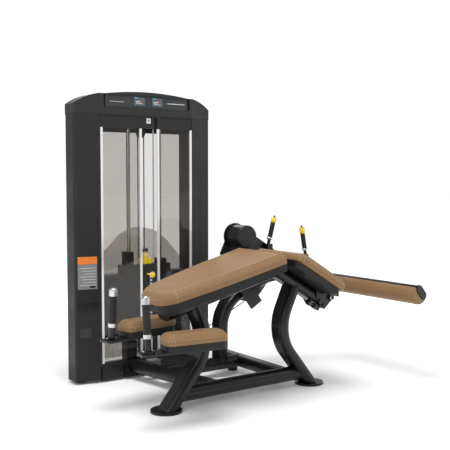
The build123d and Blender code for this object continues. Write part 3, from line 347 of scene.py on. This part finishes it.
def cushion(name, node, org, xd, zd, outline, thick, body, crown, top_inset, top_drop, side_bulge, seed,
            pipe_w=None, stitch_w=None, step=6.0, pipe_r=0.0021):
    """Upholstered cushion in pad axes (u along xd, v across, w up zd from the CAD pad's underside):
    bulging side wall, turned edge, crowned top with slow unevenness."""
    xd = Vector(xd).normalized(); zd = Vector(zd).normalized(); yd = zd.cross(xd)
    P = resample(outline, step)
    area = 0.5 * np.sum(P[:, 0] * np.roll(P[:, 1], -1) - np.roll(P[:, 0], -1) * P[:, 1])
    if area < 0:
        P = P[::-1].copy()
    n = len(P)
    T = thick
    rings = []                                 # (inset, height)
    rings.append((9.0, 0.3)); rings.append((3.0, 0.6)); rings.append((0.8, 3.0))
    for k in range(1, 9):
        h = 3.0 + (T - top_drop - 3.0) * k / 9
        rings.append((0.8 - side_bulge * math.sin(math.pi * k / 9), h))
    rings.append((0.7, T - top_drop - 1.2)); rings.append((1.4, T - top_drop + 0.6))
    for k in range(1, 8):
        f = k / 8
        rings.append((1.4 + (top_inset - 1.4) * f, T - top_drop + 0.6 + (top_drop - 1.4) * f + 1.6 * math.sin(math.pi * f)))
    rings.append((top_inset, T - 0.9)); rings.append((top_inset + 1.6, T - 0.25)); rings.append((top_inset + 4.0, T))
    verts = []
    for ins, h in rings:
        Q = inset(P, ins)
        for q in Q:
            verts.append((q[0], q[1], h))
    faces = []
    for r in range(len(rings) - 1):
        for j in range(n):
            faces.append((r * n + j, r * n + (j + 1) % n, (r + 1) * n + (j + 1) % n, (r + 1) * n + j))
    # crowned top: rings shrinking towards the middle line
    last = inset(P, rings[-1][0]); c = last.mean(0)
    span = last.max(0) - last.min(0)
    core_dir = 0 if span[0] > span[1] else 1
    half = span[1 - core_dir] / 2
    core = last.copy()
    lo_, hi_ = last[:, core_dir].min() + half * 0.9, last[:, core_dir].max() - half * 0.9
    if hi_ < lo_:
        lo_ = hi_ = (lo_ + hi_) / 2
    core[:, core_dir] = np.clip(core[:, core_dir], lo_, hi_)
    core[:, 1 - core_dir] = c[1 - core_dir]
    rng = np.random.RandomState(seed)
    ph = rng.rand(6) * 6.28
    steps = 14
    for k in range(1, steps + 1):
        f = k / steps
        Q = last * (1 - f) + core * f
        z = T * 1.0 - 0.02 * top_drop + crown * (1 - (1 - f) ** 2.2)
        for q in Q:
            wob = 0.55 * math.sin(q[0] / 61 + ph[0]) * math.sin(q[1] / 47 + ph[1]) + 0.35 * math.sin(q[0] / 23 + q[1] / 31 + ph[2])
            verts.append((q[0], q[1], z + wob * min(1, f * 4)))
        r0 = (len(rings) - 1 + k - 1) * n if k > 1 else (len(rings) - 1) * n
        r1 = (len(rings) - 1 + k) * n
        for j in range(n):
            faces.append((r0 + j, r0 + (j + 1) % n, r1 + (j + 1) % n, r1 + j))
    # underside
    faces.append(tuple(range(n - 1, -1, -1)))
    W = [Vector(org) + xd * (v[0] / 1000) + yd * (v[1] / 1000) + zd * (v[2] / 1000) for v in verts]
    me = mesh_from(name, W, faces)
    bm = bmesh.new(); bm.from_mesh(me)
    bmesh.ops.remove_doubles(bm, verts=bm.verts, dist=0.0003)
    bmesh.ops.recalc_face_normals(bm, faces=bm.faces)
    bm.to_mesh(me); bm.free()
    ob = add_obj(name, me, M["tan"], body)
    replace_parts(ob, node) if node else None

    def loop(ins, h, out=0.0):
        Q = inset(P, ins - out)
        return [Vector(org) + xd * (q[0] / 1000) + yd * (q[1] / 1000) + zd * (h / 1000) for q in Q]

    def wall_normals():
        A = inset(P, 1.0) - P
        return [(-(xd * float(a[0]) + yd * float(a[1]))).normalized() for a in A]
    if pipe_w:
        for i, (ins, h) in enumerate(pipe_w):
            tube_curve(f"{name}_piping_{i}", loop(ins, h), pipe_r, M["piping"], body)
    if stitch_w:
        for i, (ins, h) in enumerate(stitch_w):
            dashes(f"{name}_stitch_{i}", [tuple(v) for v in loop(ins, h)], [tuple(v) for v in wall_normals()], 0.0052, 0.0024, 0.0007,
                   M["thread"], body)
    return ob


def panel_seams(name, org, xd, zd, outline, T, top_inset, top_drop, u_turn, u_far, body, r=0.0016, flip=False):
    """Piped panel seam: along the upper edge of both long sides, then down the wall at u_turn."""
    xd = Vector(xd).normalized(); zd = Vector(zd).normalized(); yd = zd.cross(xd)
    P = resample(outline, 4.0)
    area = 0.5 * np.sum(P[:, 0] * np.roll(P[:, 1], -1) - np.roll(P[:, 0], -1) * P[:, 1])
    if area < 0:
        P = P[::-1].copy()
    top = inset(P, top_inset)

    def W(u, v, h):
        return Vector(org) + xd * (u / 1000) + yd * (v / 1000) + zd * (h / 1000)
    for k, sgn in enumerate((-1, 1)):
        idx = [i for i in range(len(P)) if P[i, 1] * sgn > 0 and min(u_turn, u_far) <= P[i, 0] <= max(u_turn, u_far)]
        idx.sort(key=lambda i: P[i, 0] if u_turn < u_far else -P[i, 0])
        if len(idx) < 4:
            continue
        run = [W(top[i, 0], top[i, 1], T + 0.2) for i in idx[::-1]]
        j = idx[0]
        drop = []
        for f in np.linspace(0, 1, 7)[1:]:
            ins = top_inset * (1 - f) + 0.4 * f
            q = inset(P, ins)[j]
            drop.append(W(q[0], q[1], T - top_drop * f))
        for h in np.linspace(T - top_drop, 2.0, 7)[1:]:
            q = inset(P, -1.0)[j]
            drop.append(W(q[0], q[1], float(h)))
        tube_curve("%s_seam_%d" % (name, k), run + drop, r, M["piping"], body, closed=False, res=3)


# ------------------------------------------------------------------ cushions
def slope_frame(p, angle, w):
    a = math.radians(angle)
    q = (p[0] + w * math.sin(a), p[1] - w * math.cos(a))
    return L(q[0], -640, q[1]), (math.cos(a), 0, math.sin(a)), (-math.sin(a), 0, math.cos(a))


chest = round_poly([(0, -190), (0, 190), (-247, 180), (-437, 163), (-692, 124), (-692, -124), (-437, -163), (-247, -180)],
                   [24, 24, 0, 0, 95, 95, 0, 0])
o, xd, zd = slope_frame((300, 735), 14, 55.7)
cushion("chest_cushion", "chest_pad", o, xd, zd, chest, 55.0, "machine_frame", 3.0, 19, 21, 1.6, 3,
        pipe_w=[], stitch_w=[(-0.9, 30.0)], pipe_r=0.0008)
panel_seams("chest_cushion", o, xd, zd, chest, 55.0, 19, 21, -622, -6, "machine_frame", r=0.0019)
thigh = round_poly([(0, -190), (356, -190), (356, 190), (0, 190)], [26, 26, 26, 26])
o, xd, zd = slope_frame((405, 729), -30.5, 49.7)
cushion("thigh_cushion", "thigh_pad", o, xd, zd, thigh, 49.0, "machine_frame", 2.5, 15, 15, 1.6, 5,
        pipe_w=[(0.4, 33.4)], stitch_w=[(-0.9, 31.0), (-0.9, 27.5)], pipe_r=0.0008)
panel_seams("thigh_cushion", o, xd, zd, thigh, 49.0, 15, 15, 24, 350, "machine_frame", r=0.0016)
for i, s in enumerate((-1, 1)):
    a = math.radians(8.4 * s)
    arm = round_poly([(-151, -56), (151, -56), (151, 56), (-151, 56)], [30] * 4)
    ob = cushion("arm_cushion_%s" % ("near", "far")[i], None, L(-257, -640 + 209 * s, 364.3), (math.cos(a), math.sin(a), 0), (0, 0, 1),
                 arm, 47.0, "machine_frame", 1.5, 17, 20, 1.2, 7 + i, pipe_w=[], stitch_w=[(-0.8, 24.0)], step=5.0, pipe_r=0.0007)
    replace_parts(ob, "arm_pads")
    panel_seams("arm_cushion_%s" % ("near", "far")[i], L(-257, -640 + 209 * s, 364.3), (math.cos(a), math.sin(a), 0), (0, 0, 1),
                arm, 47.0, 17, 20, -118, 118, "machine_frame", r=0.0015)

# roller cushion: a crescent wrapped round the lower left of the bar, rounded at both ends
ra = math.radians(-13.2)
BARC = (720 + 389.5 * math.cos(ra) - 12.3 * math.sin(ra), 565 + 389.5 * math.sin(ra) + 12.3 * math.cos(ra))
UA, NA = math.radians(131), math.radians(41)


def RW(u, n, y):
    return L(BARC[0] + u * math.cos(UA) + n * math.cos(NA), y, BARC[1] + u * math.sin(UA) + n * math.sin(NA))


sec = []
for k in range(61):
    w = math.radians(-1 - 203.5 * k / 60)
    sec.append((0.51 + 56 * math.cos(w), -15.54 + 56 * math.sin(w)))
for k in range(16):
    w = math.radians(165 + 105 * k / 15)
    sec.append((-24 + 21.8 * math.cos(w), 21.8 * math.sin(w)))
for k in range(16):
    w = math.radians(270 + 58 * k / 15)
    sec.append((24 + 21.8 * math.cos(w), 21.8 * math.sin(w)))
S2 = resample(sec, 3.0)
for _ in range(3):
    S2 = S2 * 0.5 + 0.25 * (np.roll(S2, 1, 0) + np.roll(S2, -1, 0))
if 0.5 * np.sum(S2[:, 0] * np.roll(S2[:, 1], -1) - np.roll(S2[:, 0], -1) * S2[:, 1]) < 0:
    S2 = S2[::-1].copy()
stations = []
for k in range(6):
    a = k / 5 * math.pi / 2
    stations.append((-370 - 6 * (1 - math.cos(a)), 5 * (1 - math.sin(a))))
for y in np.linspace(-392, -958, 24):
    stations.append((float(y), 0.35 * math.sin(y * 0.031) * math.sin(y * 0.011)))
for k in range(8):
    a = k / 7 * math.pi / 2
    stations.append((-974 - 8 * math.sin(a), 5.5 * (1 - math.cos(a))))
vs, fs = [], []
for y, d in stations:
    q = inset(S2, d) if abs(d) > 1e-6 else S2
    vs += [RW(p[0], p[1], y) for p in q]
nn = len(S2)
for k in range(len(stations) - 1):
    for m_ in range(nn):
        fs.append((k * nn + m_, k * nn + (m_ + 1) % nn, (k + 1) * nn + (m_ + 1) % nn, (k + 1) * nn + m_))
fs.append(tuple(range(nn - 1, -1, -1))); fs.append(tuple((len(stations) - 1) * nn + m_ for m_ in range(nn)))
me2 = mesh_from("roller_cushion", vs, fs)
import bmesh
bmr = bmesh.new(); bmr.from_mesh(me2); bmesh.ops.triangulate(bmr, faces=[f for f in bmr.faces if len(f.verts) > 4])
bmesh.ops.recalc_face_normals(bmr, faces=bmr.faces[:]); bmr.to_mesh(me2); bmr.free()
me2.materials.clear(); me2.materials.append(M["tan"])
me2.polygons.foreach_set("use_smooth", [True] * len(me2.polygons))
roll = bpy.data.objects.new("roller_cushion", me2)
bpy.context.scene.collection.objects.link(roll)
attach(roll, "carriage"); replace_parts(roll, "roller_pad")
for k, y in enumerate((-388, -958)):
    pts = []
    for j in range(49):
        w = math.radians(-8 - 190 * j / 48)
        pts.append(RW(0.51 + 56.3 * math.cos(w), -15.54 + 56.3 * math.sin(w), y))
    tube_curve("roller_seam_%d" % k, pts, 0.0012, M["piping"], "carriage", closed=False, res=3)

# ------------------------------------------------------------------ tower details
th = math.atan2(32, 139)


def on_left(s, z):
    """Point on the swept face of the left column, s from its inner edge."""
    return L(-286 - s * math.cos(th), s * math.sin(th), z)


ln = (-math.sin(th), -math.cos(th), 0)


def left_plate(name, s0, s1, z0, z1, thick, mat, out=0.0):
    o_ = Vector(ln) * out
    return quad_plate(name, [on_left(s1, z0) + o_, on_left(s0, z0) + o_, on_left(s0, z1) + o_, on_left(s1, z1) + o_], ln, thick, mat, "machine_frame")


left_plate("info_label", 24, 128, 508, 640, 0.0006, M["label"])
left_plate("info_label_band", 24, 128, 641, 680, 0.0006, M["orange"])
for k in range(7):
    left_plate("info_label_rule_%d" % k, 32, 120 - (k % 3) * 12, 618 - k * 15, 621 - k * 15, 0.0003, M["pale"], out=0.0006)
left_plate("info_label_square", 34, 64, 514, 526, 0.0003, M["dark"], out=0.0006)
left_plate("bottle_plate", 16, 132, 346, 434, 0.0012, M["gloss_black"])
# the plate's two holes are flat near-black patches: painted shade for the inside of the holes
for k, s in enumerate((36, 112)):
    left_plate("bottle_plate_hole_painted_shade_%d" % k, s - 5, s + 5, 385, 395, 0.0004, M["dark"], out=0.0012)
left_plate("lower_label", 60, 118, 250, 300, 0.0005, M["label_dark"])
front_plate("fascia_badge", -7, 19, 1391, 1419, 2.4, 0.0004, M["pale"])
front_plate("fascia_badge_field", 0, 12, 1400, 1412, 2.0, 0.0003, M["label"])
# header panel: blank emblem field, two pictogram frames and rules
front_plate("panel_field", -236, -130, 1496, 1522, 6, 0.0004, M["label_dark"])
front_plate("panel_field_rule", -226, -140, 1500, 1502, 5.6, 0.0003, M["pale"])
for k, x in enumerate((-47, 64)):
    front_plate("pictogram_%d" % k, x - 33, x + 33, 1485, 1531, 6, 0.0005, M["picto"])
    front_plate("pictogram_tab_%d" % k, x - 33, x - 8, 1524, 1531, 5.4, 0.0003, M["blue"])
    # reclining figure made of plain bars
    for m_, (a, b, w) in enumerate((((-20, -2), (2, 4), 5), ((2, 4), (16, -6 + 14 * k), 4.5), ((-24, 1), (-18, 1), 6), ((-22, -9), (18, -9), 2.4), ((0, -9), (0, -1), 2.4))):
        dx, dz = b[0] - a[0], b[1] - a[1]; l_ = math.hypot(dx, dz); nx, nz = -dz / l_ * w / 2, dx / l_ * w / 2
        cs = [L(x + a[0] - nx, 5.4, 1506 + a[1] - nz), L(x + b[0] - nx, 5.4, 1506 + b[1] - nz), L(x + b[0] + nx, 5.4, 1506 + b[1] + nz), L(x + a[0] + nx, 5.4, 1506 + a[1] + nz)]
        quad_plate("pictogram_%d_bar_%d" % (k, m_), cs, (0, -1, 0), 0.0003, M["red"] if m_ == 1 else M["pale"], "machine_frame")
front_plate("panel_rule", 128, 240, 1503, 1507, 6, 0.0004, M["pale"])
# near-black patch at the back of the fascia notch: painted shade in the recess
front_plate("fascia_notch_painted_shade", 43, 59.5, 1364, 1421, 13.5, 0.0004, M["dark"])

# stack: selector strip with pin holes and blank weight labels
front_plate("selector_strip", -21, 12, 214.5, 555, 12, 0.0012, M["label_dark"])
for k in range(19):
    z = 214 + k * 18 + 8.6
    # each pin hole is a flat near-black disc: painted shade for the inside of the hole
    vs, fs = [], []
    for j in range(12):
        w = 2 * math.pi * j / 12
        vs.append(L(6 * math.cos(w), 10.6, z + 6 * math.sin(w)))
    me = mesh_from("pin_hole_painted_shade_%d" % k, vs, [tuple(range(12))])
    add_obj("pin_hole_painted_shade_%d" % k, me, M["dark"], "machine_frame", smooth=False)
    front_plate("weight_label_%d" % k, 14, 29, z - 5.2, z + 5.2, 12, 0.0005, M["pale"])
front_plate("first_plate_label", 14, 29, 560, 570, 12, 0.0005, M["pale"], body="stack_head")
# chrome ring round the selector pin's head
pts = [L(14.4 * math.cos(2 * math.pi * j / 32), -41, 564.6 + 14.4 * math.sin(2 * math.pi * j / 32)) for j in range(32)]
tube_curve("pin_ring", pts, 0.0030, M["white"], "weight_pin")


def drum(name, c, r, h, mat, body, axis=(0, 0, 1), n=40, edge=0.002):
    """Short round piece with eased rims, standing h along axis from c."""
    ax = Vector(axis).normalized(); u = ax.orthogonal().normalized(); v = ax.cross(u)
    prof = [(0, r - edge), (edge, r), (h - edge, r), (h, r - edge)]
    vs, fs = [], []
    for t, rr in prof:
        for j in range(n):
            w = 2 * math.pi * j / n
            vs.append(Vector(c) + ax * t + (u * math.cos(w) + v * math.sin(w)) * rr)
    for k in range(3):
        for j in range(n):
            fs.append((k * n + j, k * n + (j + 1) % n, (k + 1) * n + (j + 1) % n, (k + 1) * n + j))
    fs.append(tuple(range(n - 1, -1, -1))); fs.append(tuple(3 * n + j for j in range(n)))
    return add_obj(name, mesh_from(name, vs, fs), mat, body)


drum("stem_cap", L(0, 47, 685.8), 0.0222, 0.0186, M["knob"], "stack_head", edge=0.004)
drum("selector_band", L(0, 47, 668), 0.0206, 0.006, M["white"], "add_on_selector", edge=0.0006)
drum("axle_cap", L(705, -714.5, 462), 0.0150, 0.004, M["chrome"], "machine_frame", axis=(0, -1, 0), edge=0.0015)


# ------------------------------------------------------------------ levers: bright caps and rings
def along(b, g, l, y=-340):
    d_ = Vector((g[0] - b[0], 0, g[1] - b[1])).normalized()
    return L(b[0], y, b[1]) + d_ * (l / 1000), d_


def sleeve(name, b, g, l0, l1, r0, r1, mat, body, segs=28):
    p0, d_ = along(b, g, l0); p1, _ = along(b, g, l1)
    u = Vector((0, 1, 0)); v = d_.cross(u)
    vs, fs = [], []
    prof = [(0.0, r0 * 0.9), (0.08, r0), (0.92, r1), (1.0, r1 * 0.86)]
    for t, r in prof:
        c = p0.lerp(p1, t)
        for j in range(segs):
            w = 2 * math.pi * j / segs
            vs.append(c + (u * math.cos(w) + v * math.sin(w)) * (r / 1000))
    for k in range(len(prof) - 1):
        for j in range(segs):
            fs.append((k * segs + j, k * segs + (j + 1) % segs, (k + 1) * segs + (j + 1) % segs, (k + 1) * segs + j))
    fs.append(tuple(range(segs - 1, -1, -1))); fs.append(tuple((len(prof) - 1) * segs + j for j in range(segs)))
    return add_obj(name, mesh_from(name, vs, fs), mat, body)


START = ((572, 728.1), (605, 846), (612, 873)); ROLL = ((845, 655.1), (822, 778), (817, 810))
for nm, (b, g, c), body in (("start", START, "leg_arm"), ("roller", ROLL, "carriage")):
    l1 = math.hypot(g[0] - b[0], g[1] - b[1]); l2 = math.hypot(c[0] - b[0], c[1] - b[1])
    sleeve(nm + "_lever_cap", b, g, l1 - 1, l2 + 0.5, 15.6, 15.0, M["yellow"], body)
    sleeve(nm + "_lever_collar", b, g, 25, 37, 17, 16.5, M["chrome"], body)
    for k in range(7):
        p, d_ = along(b, g, 46 + k * (l1 - 56) / 7)
        u = Vector((0, 1, 0)); v = d_.cross(u)
        ring = [p + (u * math.cos(2 * math.pi * j / 24) + v * math.sin(2 * math.pi * j / 24)) * 0.0132 for j in range(24)]
        tube_curve("%s_grip_rib_%d" % (nm, k), ring, 0.0011, M["grip"], body, res=2)

# ------------------------------------------------------------------ welds and small trims
def weld(name, centre, xa, ya, rx, ry, r, body="machine_frame", n=40):
    pts = [Vector(centre) + Vector(xa) * (rx * math.cos(2 * math.pi * j / n)) + Vector(ya) * (ry * math.sin(2 * math.pi * j / n)) for j in range(n)]
    return tube_curve(name, pts, r, M["gloss_black"], body, res=2)


for k, (x, s) in enumerate(((-276, 1), (612, -1))):
    weld("foot_weld_%d" % k, L(x + s * 9, -640, 11.5), (1, 0, 0), (0, 1, 0), 0.040, 0.0555, 0.0022)

# ------------------------------------------------------------------ floor, light, camera
fm, nt, b = new_mat("studio_floor")
b.inputs["Base Color"].default_value = (0.97, 0.97, 0.97, 1); b.inputs["Roughness"].default_value = 0.6
b.inputs["Specular IOR Level"].default_value = 0.1
# painted light: the floor glows by emission, weakly within about 0.75 m of the machine and rising out to 2.6 m, so it
# is darker near the machine and plain white far off
b.inputs["Emission Color"].default_value = (1, 1, 1, 1); # the floor brightens to plain white away from the machine
ftc = nt.nodes.new("ShaderNodeTexCoord"); fln = nt.nodes.new("ShaderNodeVectorMath"); fln.operation = "LENGTH"
link(nt, ftc.outputs["Object"], fln.inputs[0])
painted_floor_glow_ramp = nt.nodes.new("ShaderNodeMapRange"); painted_floor_glow_ramp.interpolation_type = "SMOOTHSTEP"
painted_floor_glow_ramp.inputs["From Min"].default_value = 0.75; painted_floor_glow_ramp.inputs["From Max"].default_value = 2.6
painted_floor_glow_ramp.inputs["To Min"].default_value = 0.06; painted_floor_glow_ramp.inputs["To Max"].default_value = 0.52
link(nt, fln.outputs["Value"], painted_floor_glow_ramp.inputs["Value"]); link(nt, painted_floor_glow_ramp.outputs["Result"], b.inputs["Emission Strength"])
me = mesh_from("floor", [(-40, -40, -0.0005), (40, -40, -0.0005), (40, 40, -0.0005), (-40, 40, -0.0005)], [(0, 1, 2, 3)])
floor = bpy.data.objects.new("studio_floor", me); me.materials.append(fm)
bpy.context.scene.collection.objects.link(floor)

world = bpy.data.worlds.new("studio"); bpy.context.scene.world = world
world.use_nodes = True
bg = world.node_tree.nodes["Background"]; bg.inputs[0].default_value = (1, 1, 1, 1); bg.inputs[1].default_value = 1.0
# pure white behind the object, softer white as the studio's fill light
lp = world.node_tree.nodes.new("ShaderNodeLightPath")
fill = world.node_tree.nodes.new("ShaderNodeMath"); fill.operation = "MULTIPLY_ADD"
fill.inputs[1].default_value = 0.50; fill.inputs[2].default_value = 0.52
link(world.node_tree, lp.outputs["Is Camera Ray"], fill.inputs[0]); link(world.node_tree, fill.outputs[0], bg.inputs[1])


def area(name, loc, target, size, power, col=(1, 1, 1), sy=None):
    li = bpy.data.lights.new(name, "AREA"); li.shape = "RECTANGLE"; li.size = size; li.size_y = sy or size
    li.energy = power; li.color = col
    ob = bpy.data.objects.new(name, li); ob.location = loc
    d_ = Vector(target) - Vector(loc)
    ob.rotation_mode = "QUATERNION"; ob.rotation_quaternion = d_.to_track_quat("-Z", "Y")
    bpy.context.scene.collection.objects.link(ob)


area("top_box", (-0.75, -0.35, 3.9), (0.1, 0, 0.4), 1.7, 100)
area("left_box", (-4.2, -1.6, 2.4), (0, 0, 0.7), 2.2, 34, sy=2.6)
area("right_box", (3.8, -2.4, 2.2), (0.2, 0, 0.7), 1.6, 24, sy=2.4)
area("back_box", (1.2, 4.0, 2.6), (0, 0, 0.8), 2.4, 30)

cam = bpy.data.cameras.new("cam"); cam.sensor_width = 36; cam.lens = 62.8; cam.clip_end = 100
co = bpy.data.objects.new("cam", cam)
co.location = (-2.1527 - OX, -3.7565 - OY, 1.10)
az, el = math.radians(35.4), math.radians(-3.5)
dv = Vector((math.sin(az) * math.cos(el), math.cos(az) * math.cos(el), math.sin(el)))
co.rotation_mode = "QUATERNION"; co.rotation_quaternion = dv.to_track_quat("-Z", "Y")
bpy.context.scene.collection.objects.link(co)
bpy.context.scene.camera = co
bpy.context.scene.view_settings.view_transform = "Standard"
